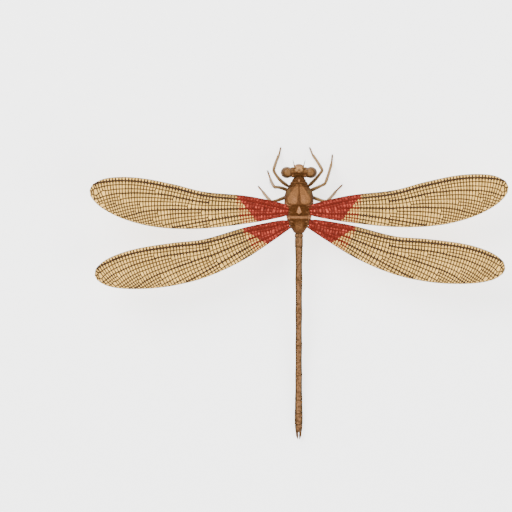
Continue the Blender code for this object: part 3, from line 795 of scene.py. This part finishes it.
leg_finish = painted_finish("tan_leg", 0.45, (0.8, 1.07), 0.4, 0.06, 0.01, gloss=0.05)
spine_finish = painted_finish("dark_spine", 0.4, (0.9, 1.035), 0.2, 0.1, 0.005)
for name, (knee, ankle, toe, thigh_bow) in STANCES.items():
    kind, sided = name.split("_")
    sign = 1.0 if sided == "left" else -1.0
    joints = [(sign * out, back_at, up) for out, back_at, up in (*HIPS[kind], knee, ankle, toe)]
    thigh_bow, shin_bow = (Vector((sign * bow[0], bow[1], bow[2])) for bow in (thigh_bow, SHIN_BOW))
    hip_at, ring_at, knee_at, ankle_at, toe_at = (spot(*joint) for joint in joints)
    points = leg_points(hip_at, ring_at, knee_at, ankle_at, toe_at, thigh_bow, shin_bow)
    leg = smoothed(tube(name + "_skin", points, 12), 1)
    places, ways = places_of(leg)
    # Painted light and shade: a lighter tan on the tops of the legs, a darker tan on their sides and
    # undersides, and a band of painted shade along each side.
    layers = [(LEG_LIT_TAN, ramp_up(ways[:, 2], -0.2, 0.5)), (LEG_DARK, 0.35 * bump_at(ways[:, 2] - 0.1, 0.25))]
    for at, width in ((ring_at, 0.3), (knee_at, 0.3), (ankle_at, 0.2)):
        apart = np.linalg.norm(places - np.array(at), axis=1)
        layers.append((LEG_DARK, 0.7 * bump_at(apart, width)))
    layers.append((LEG_DARK, 0.7 * ramp_up(-places[:, 2], -0.4, -0.2)))
    paint(leg, LEG_SHADED_TAN, layers)
    move_to(leg, np.column_stack((places[:, :2], np.maximum(places[:, 2], 0.0))))
    settle(leg, leg_finish, "leg", name)
    thorns = []
    draw = random.Random(name)
    for start, end, curve, radius, count, length in (
        (ring_at, knee_at, thigh_bow, THIGH, 9, 0.45), (knee_at, ankle_at, shin_bow, SHIN, 10, 0.62)
    ):
        along = (end - start).normalized()
        outward = (Vector((sign, 0.0, 0.0)) - along * along.x * sign).normalized()
        under = along.cross(outward) * (-1.0 if along.cross(outward).z > 0 else 1.0)
        for row, turn in enumerate((0.75, -0.75)):
            for k in range(count):
                run = 0.16 + 0.78 * (k + 0.5 * row) / count
                lean = (under * math.cos(turn) + outward * math.sin(turn)).normalized()
                foot = bowed(start, end, curve, run) + lean * radius * 0.8
                tip = foot + (lean + along * 0.55) * length * draw.uniform(0.85, 1.1) * (1 - 0.35 * run)
                tip.z = max(tip.z, 0.03)
                thorns.append((foot, tip, SPINE_RADIUS))
    forward = (toe_at - ankle_at).normalized()
    aside = forward.cross(Vector((0.0, 0.0, 1.0))).normalized()
    for turn in (1.0, -1.0):
        foot = toe_at - forward * 0.05
        tip = toe_at + forward * 0.2 + aside * turn * 0.16
        tip.z = 0.02
        thorns.append((foot, tip, 0.05))
    spines = spikes(name + "_spines", thorns)
    paint(spines, SPINE_BLACK)
    settle(spines, spine_finish, "leg", name)

# ------------------------------------------------------------
# The wings. Each is one clear amber membrane, stiffened by a net of hollow brown veins that
# harden from folds of the membrane itself; next to the body both are stained ruby red.
FOREWING_EDGE = {
    "lead": ((0.35, 0.72), (1.6, 1.12), (7.5, 1.68), (14.8, 1.62), (20.0, 2.32), (26.0, 2.74), (30.8, 2.16)),
    "tip": ((33.1, 0.9), (33.55, -0.2), (33.15, -1.35)),
    "trail": (
        (31.0, -3.0), (27.0, -4.42), (21.5, -5.08), (14.4, -4.5), (6.5, -2.72), (1.6, -1.25), (0.35, -0.72),
    ),
}
HINDWING_EDGE = {
    "lead": ((0.35, 0.62), (1.6, 0.98), (7.5, 1.3), (14.8, 1.08), (20.0, 1.78), (26.5, 2.32), (30.8, 1.92)),
    "tip": ((33.2, 0.85), (33.75, -0.25), (33.4, -1.35)),
    "trail": (
        (31.5, -2.85), (27.5, -4.2), (22.0, -5.1), (16.0, -5.12), (9.5, -3.95), (4.0, -2.1), (0.35, -0.7),
    ),
}


def edge_curve(knots):
    """A smooth curve through the knots: a function from the share of its length to a place on it."""
    knots = [Vector(knot) for knot in knots]
    spans = [(after - before).length for before, after in zip(knots, knots[1:])]
    slopes = []
    for index in range(len(knots)):
        before, after = max(index - 1, 0), min(index + 1, len(knots) - 1)
        slopes.append((knots[after] - knots[before]) / sum(spans[before:after]))
    samples = []
    for index, span in enumerate(spans):
        for step in range(16):
            t = step / 16
            blend = t * t * (3 - 2 * t)
            place = knots[index].lerp(knots[index + 1], blend)
            place += slopes[index] * span * t * (1 - t) ** 2
            place -= slopes[index + 1] * span * t * t * (1 - t)
            samples.append(place)
    samples.append(knots[-1])
    xs, ys = np.array([p.x for p in samples]), np.array([p.y for p in samples])
    run = np.concatenate(([0.0], np.cumsum(np.hypot(np.diff(xs), np.diff(ys)))))
    run /= run[-1]
    return lambda share: Vector((np.interp(share, run, xs), np.interp(share, run, ys)))


# Long veins behind the radius fan out and end on the hind margin. Each has a number: the share
# of the fan that lies before it at the base. The fan starts, the subcosta ends at the nodus and
# the radius ends at these shares of the wing's length.
FAN_START, NODUS, RADIUS_END = 0.12, 0.42, 0.965
FAN_VEINS = (0.06, 0.136, 0.235, 0.364, 0.511, 0.818)
FRONT_VEINS = ("costa", "subcosta", "radius")
# How far each vein stands above the wing's plane or lies below it, and how stout it is.
RELIEFS = {"costa": 0.0, "subcosta": -0.1, "radius": 0.1, "sector": -0.05}
FAN_RELIEFS = (-0.05, 0.05, -0.07, 0.07, -0.08, 0.08, -0.07, 0.0)
STOUTNESS = {"costa": 0.78, "subcosta": 0.64, "radius": 0.8, "sector": 0.72, 1.0: 0.58}
WIDEST_ROW, LONGEST_CELL, SNAP = 0.92, 0.58, 0.19


def wing_net(shape, seed):
    """The net as a flat mesh of cells. Gives the corners' places, relief and stoutness, and the cells."""
    draw = random.Random(seed)
    middle = len(shape["tip"]) // 2
    lead = edge_curve(shape["lead"] + shape["tip"][: middle + 1])
    trail = edge_curve((shape["tip"][middle:] + shape["trail"])[::-1])
    span = shape["tip"][middle][0]
    corners, along, cells = [], {}, []

    def row_share(line, s):
        """How far back across the wing a vein lies at s, from 0 at the costa to 1 at the hind margin."""
        line = track(line, s)
        chord = max((lead(s) - trail(s)).length, 0.01)
        if line == "costa":
            return 0.0
        if line in FRONT_VEINS:
            step = min(s / NODUS, 1.0)
            depth = (0.62 + 0.16 * (1 - step)) * min(1.0, (RADIUS_END - s) / 0.07)
            share = min(depth / chord, 0.3)
            if line == "radius":
                return max(share, 0.0)
            return max(share * 0.5 * min(1.0, (NODUS - s) / 0.05), 0.0)
        sector = min(1.25 / chord, 0.42)
        if line == "sector":
            return sector
        spread = 1.0 - max(0.0, s - FAN_START) / (1.0 - FAN_START)
        return sector + (1.0 - sector) * min(1.0, line / max(spread, 1e-6))

    def end_of(line):
        if isinstance(line, float):
            return FAN_START + (1.0 - FAN_START) * (1.0 - line) if line < 1.0 else 0.0
        return {"costa": 1.0, "subcosta": NODUS, "radius": RADIUS_END, "sector": 1.0}[line]

    def track(line, s):
        """The line that is really there: past its end, a vein has run into the wing's edge."""
        if s < end_of(line) - 1e-9:
            return line
        return "costa" if line in FRONT_VEINS else 1.0

    def place(line, s):
        return lead(s).lerp(trail(s), row_share(line, s))

    def relief(line, s):
        if line in RELIEFS:
            return RELIEFS[line] * (1 - 0.6 * s)
        return float(np.interp(line, (0.0, *FAN_VEINS, 1.0), FAN_RELIEFS)) * (1 - 0.6 * s)

    def stoutness(line, s):
        if line in FAN_VEINS:
            return 0.66 - 0.1 * s
        return STOUTNESS.get(line, 0.58) * (1 - 0.15 * s)

    def corner(line, s):
        """The corner on a vein at s, or the one that is already close by."""
        line = track(line, s)
        near = along.setdefault(line, [])
        for at, index in near:
            if abs(at - s) * span < SNAP:
                return at, index
        corners.append((place(line, s), relief(line, s), stoutness(line, s), line))
        near.append((s, len(corners) - 1))
        return s, len(corners) - 1

    def foot(upper, s, lower):
        """Where a cross vein that leaves the upper vein squarely at s meets the lower one."""
        start = place(upper, s)
        heading = place(upper, min(s + 0.004, 1.0)) - start
        heading = heading.normalized() if heading.length else Vector((1.0, 0.0))
        at = s
        for _ in range(3):
            ahead = (place(lower, at) - start).dot(heading)
            at = min(max(at - 0.8 * ahead / span, 0.0), 1.0)
        return at

    def strip(upper, lower, s_up, s_low):
        """Lays cells along the strip between two veins, and divides it where it grows too wide."""
        on_costa = upper in FRONT_VEINS
        close = end_of(lower) if on_costa else end_of(upper)
        low_number = lower if isinstance(lower, float) else 0.0
        up_number = upper if isinstance(upper, float) else 0.0
        due = [number for number in FAN_VEINS if up_number < number < low_number]
        may_divide = isinstance(lower, float)
        while True:
            width = (place(upper, s_up) - place(lower, s_low)).length
            length = min(max(width * 0.85, 0.5), LONGEST_CELL) * draw.uniform(0.93, 1.08)
            new_up = s_up + length / span
            for at, _ in along.get(track(upper, new_up), []):
                if abs(at - new_up) * span < 0.45 * length:
                    new_up = at
                    break
            new_low = foot(upper, new_up, lower)
            new_low = max(new_low, s_low + 0.45 * length / span)
            if new_up > close - 0.6 * length / span or new_low > 1.0:
                last = corner(upper if not on_costa else lower, close)
                cells.append((upper, s_up, close, lower, s_low, close, [last[1]]))
                return
            up = corner(upper, new_up)
            low = corner(lower, new_low)
            if up[0] <= s_up and low[0] <= s_low:
                s_up += 0.3 / span
                continue
            width = (corners[up[1]][0] - corners[low[1]][0]).length
            number = None
            if may_divide and width > WIDEST_ROW:
                number = due[-1] if due else (up_number + low_number) / 2
            if number is not None and end_of(number) - new_up < 0.035:
                number = None
            if number is None:
                cells.append((upper, s_up, up[0], lower, s_low, low[0], []))
                s_up, s_low = up[0], low[0]
                continue
            part = row_share(number, (up[0] + low[0]) / 2)
            first, second = row_share(upper, up[0]), row_share(lower, low[0])
            part = (part - first) / max(second - first, 1e-6)
            s_mid = up[0] + (low[0] - up[0]) * min(max(part, 0.1), 0.9)
            mid = corner(number, s_mid)
            cells.append((upper, s_up, up[0], lower, s_low, low[0], [mid[1]]))
            strip(upper, number, up[0], mid[0])
            strip(number, lower, mid[0], low[0])
            return

    lines = [*FRONT_VEINS, "sector", *FAN_VEINS[-2:], 1.0]
    for line in lines:
        corner(line, 0.0)
    for upper, lower in zip(lines, lines[1:]):
        strip(upper, lower, 0.0, 0.0)

    def between(line, start, stop):
        """The corners on a vein between two places, running on along the edge past the vein's end."""
        found = []
        end = end_of(line)
        edge = "costa" if line in FRONT_VEINS else 1.0
        for key, low, high in ((line, start, min(stop, end)), (edge, max(start, end), stop)):
            if key == edge and line != edge and stop < end:
                continue
            if key == line == edge:
                low, high = start, stop
            found += [(at, i) for at, i in along.get(key, []) if low - 1e-9 <= at <= high + 1e-9]
        ordered = []
        for at, i in sorted(set(found)):
            if i not in ordered:
                ordered.append(i)
        return ordered

    faces = []
    for upper, up_from, up_to, lower, low_from, low_to, mids in cells:
        ring = between(upper, up_from, up_to) + mids + between(lower, low_from, low_to)[::-1]
        clean = [v for k, v in enumerate(ring) if v not in ring[:k]]
        if len(clean) > 2:
            faces.append(clean)
    return relaxed(corners, faces), faces


def relaxed(corners, faces):
    """Draws each inner corner towards its neighbours, stout veins least, as a drying net pulls tight."""
    places = np.array([tuple(place) for place, _, _, _ in corners])
    stout = np.array([stoutness for _, _, stoutness, _ in corners])
    free = np.array([line not in ("costa", 1.0) for _, _, _, line in corners])
    pairs = {tuple(sorted(pair)) for face in faces for pair in zip(face, face[1:] + face[:1])}
    first, second = np.array(sorted(pairs)).T
    count = np.bincount(first, minlength=len(places)) + np.bincount(second, minlength=len(places))
    pull = np.where(free, np.clip(1.3 - 1.7 * stout, 0.06, 0.45), 0.0)[:, None]
    for _ in range(3):
        total = np.zeros_like(places)
        np.add.at(total, first, places[second])
        np.add.at(total, second, places[first])
        places += pull * (total / np.maximum(count, 1)[:, None] - places)
    return [(tuple(place), *rest) for place, (_, *rest) in zip(places, corners)]


WING_ROOTS = {
    "forewing_left": (FOREWING_EDGE, 1.0, (1.3, 7.88, 5.95), -6.1, 4.0),
    "forewing_right": (FOREWING_EDGE, -1.0, (1.3, 7.88, 5.95), -7.1, 4.0),
    "hindwing_left": (HINDWING_EDGE, 1.0, (1.2, 9.97, 5.75), 14.3, 3.0),
    "hindwing_right": (HINDWING_EDGE, -1.0, (1.2, 9.93, 5.75), 12.5, 3.0),
}
# Where the ruby stain stops, as two (out, ahead) places on the wing.
STAIN_EDGES = {"forewing": ((9.5, 1.7), (7.9, -3.2)), "hindwing": ((8.35, 1.3), (7.1, -3.4))}
VEIN_WIDTH, VEIN_FLATNESS, RIM_WIDTH, FILM_THICK = 0.6, 0.2, 0.2, 0.02
ROOT_PLATES = (
    ((0.05, -0.45, -0.02), (0.4, 0.24, 0.17)),
    ((0.12, 0.1, 0.02), (0.38, 0.27, 0.18)),
    ((0.05, 0.58, -0.04), (0.36, 0.2, 0.14)),
    ((0.5, -0.62, 0.0), (0.38, 0.12, 0.1)),
    ((-0.3, 0.05, -0.1), (0.35, 0.62, 0.14)),
)
VEIN_BROWN, VEIN_RED = (0.06, 0.033, 0.018), (0.155, 0.016, 0.009)
AMBER_RIM, AMBER_MIDDLE = (0.22, 0.12, 0.05), (1.0, 0.6, 0.155)
RUBY_RIM, RUBY_MIDDLE = (0.165, 0.018, 0.011), (0.29, 0.042, 0.027)


def inside_stain(places, edge):
    """How far each place on a wing lies inside the stain: above 0 on the body's side of its edge."""
    (out_a, ahead_a), (out_b, ahead_b) = edge
    long = math.hypot(out_b - out_a, ahead_b - ahead_a)
    return ((places[:, 0] - out_a) * (ahead_b - ahead_a) - (places[:, 1] - ahead_a) * (out_b - out_a)) / long


def film_mesh(name, places, cells, draw, rim_colour, middle_colour, shades_between):
    """Every cell as a rim against its veins and a paler middle, each a little lighter or darker."""
    film_places, film_faces, tints = list(places), [], [rim_colour] * len(places)
    for cell in cells:
        ring = places[cell]
        centre = ring.mean(axis=0)
        reach = np.linalg.norm(ring - centre, axis=1).mean()
        keep = max(1.0 - RIM_WIDTH / reach, 0.35)
        first, shade = len(film_places), draw.uniform(*shades_between)
        film_places += list(centre + (ring - centre) * keep)
        tints += [np.array(middle_colour) * shade] * len(cell)
        for k, corner in enumerate(cell):
            after = (k + 1) % len(cell)
            film_faces.append((corner, cell[after], first + after, first + k))
        film_faces.append(tuple(range(first, first + len(cell))))
    film = mesh_piece(name, film_places, film_faces)
    paint(film, tints)
    return film


def cut_at_stain(film, edge, keep_ruby):
    """Bisects the film along the stain's edge and keeps one side of it."""
    (out_a, ahead_a), (out_b, ahead_b) = edge
    with editing(film):
        bpy.ops.mesh.bisect(
            plane_co=(out_a, ahead_a, 0.0),
            plane_no=(ahead_b - ahead_a, out_a - out_b, 0.0),
            clear_inner=keep_ruby,
            clear_outer=not keep_ruby,
        )


def hang_wing(piece, sign, hinge, sweep, rise):
    """Takes a piece from the wing's own (out, ahead, up) to its place on the body."""
    swept = Matrix.Rotation(math.radians(sign * sweep), 4, "Z")
    raised = Matrix.Rotation(math.radians(-sign * rise), 4, "Y")
    out, back_at, up = hinge
    hung = Matrix.Translation(spot(sign * out, back_at, up)) @ (swept @ raised)
    piece.data.transform(hung @ Matrix.Diagonal((sign, -1.0, 1.0, 1.0)))
    with editing(piece):
        bpy.ops.mesh.normals_make_consistent(inside=False)


FILM_LOOK = {"gloss": 0.04, "detail": 3.0, "stops": (0.36, 0.6), "strength": 0.5}
vein_finish = painted_finish("vein_brown", 0.5, (0.75, 1.0875), 0.3, 0.05, 0.01, gloss=0.04)
amber_finish = painted_finish("amber_film", 0.45, (0.86, 1.08), 1.6, 0.4, 0.02, alpha=0.98, **FILM_LOOK)
ruby_finish = painted_finish("ruby_film", 0.42, (0.62, 1.5), 0.4, 0.4, 0.02, **FILM_LOOK)
for seed, (wing, (shape, sign, hinge, sweep, rise)) in enumerate(WING_ROOTS.items(), 11):
    corners, cells = wing_net(shape, seed)
    edge = STAIN_EDGES[wing.split("_")[0]]
    flat = np.array([(*place, height) for place, height, _, _ in corners])
    veins = mesh_piece(wing + "_veins", flat * (1.0, 1.0, 0.0), cells)
    stout = veins.vertex_groups.new(name="stout")
    for index, (_, _, weight, _) in enumerate(corners):
        stout.add([index], weight, "REPLACE")
    reshape(veins, "WIREFRAME", thickness=VEIN_WIDTH, use_even_offset=False, vertex_group=stout.name)
    # The tubes round the rim are still open on their outer side: a wall closes them.
    with editing(veins, "DESELECT"):
        bpy.ops.mesh.select_non_manifold(
            use_wire=False, use_boundary=True, use_multi_face=False, use_non_contiguous=False, use_verts=False
        )
        bpy.ops.mesh.bridge_edge_loops()
    bpy.ops.object.shade_smooth()
    places, _ = places_of(veins)
    folds = KDTree(len(flat))
    for index, corner in enumerate(flat):
        folds.insert((corner[0], corner[1], 0.0), index)
    folds.balance()
    nearest = [folds.find((place[0], place[1], 0.0))[1] for place in places]
    places[:, 2] = places[:, 2] * VEIN_FLATNESS + flat[nearest, 2]
    move_to(veins, places)
    paint(veins, VEIN_BROWN, [(VEIN_RED, ramp_up(inside_stain(places, edge), -0.05, 0.05))])
    hang_wing(veins, sign, hinge, sweep, rise)
    settle(veins, vein_finish, "wing", wing)
    draw = random.Random(seed)
    for part, rim_colour, middle_colour, shades_between, finish in (
        ("amber", AMBER_RIM, AMBER_MIDDLE, (0.85, 1.1), amber_finish),
        ("ruby", RUBY_RIM, RUBY_MIDDLE, (0.5, 1.6), ruby_finish),
    ):
        film = film_mesh(wing + "_" + part, flat, cells, draw, rim_colour, middle_colour, shades_between)
        cut_at_stain(film, edge, part == "ruby")
        reshape(film, "SOLIDIFY", thickness=FILM_THICK, offset=0.0)
        hang_wing(film, sign, hinge, sweep, rise)
        settle(film, finish, "wing", wing)
    out, back_at, up = hinge
    lobes = [((sign * (out + o), back_at + b, up + u), halves) for (o, b, u), halves in ROOT_PLATES]
    plates = lobed(wing + "_root", lobes, 0.035, 4)
    places, ways = places_of(plates)
    past_hinge = places[:, 1] + MIDDLE - back_at
    between = bump_at(past_hinge + 0.17, 0.1) + bump_at(past_hinge - 0.36, 0.1)
    paint(plates, SHELL_DARK, [(SHELL_BROWN, ramp_up(ways[:, 2], 0.3, 0.9)), (SHELL_DARK, between)])
    settle(plates, shell_finish, "wing", wing)
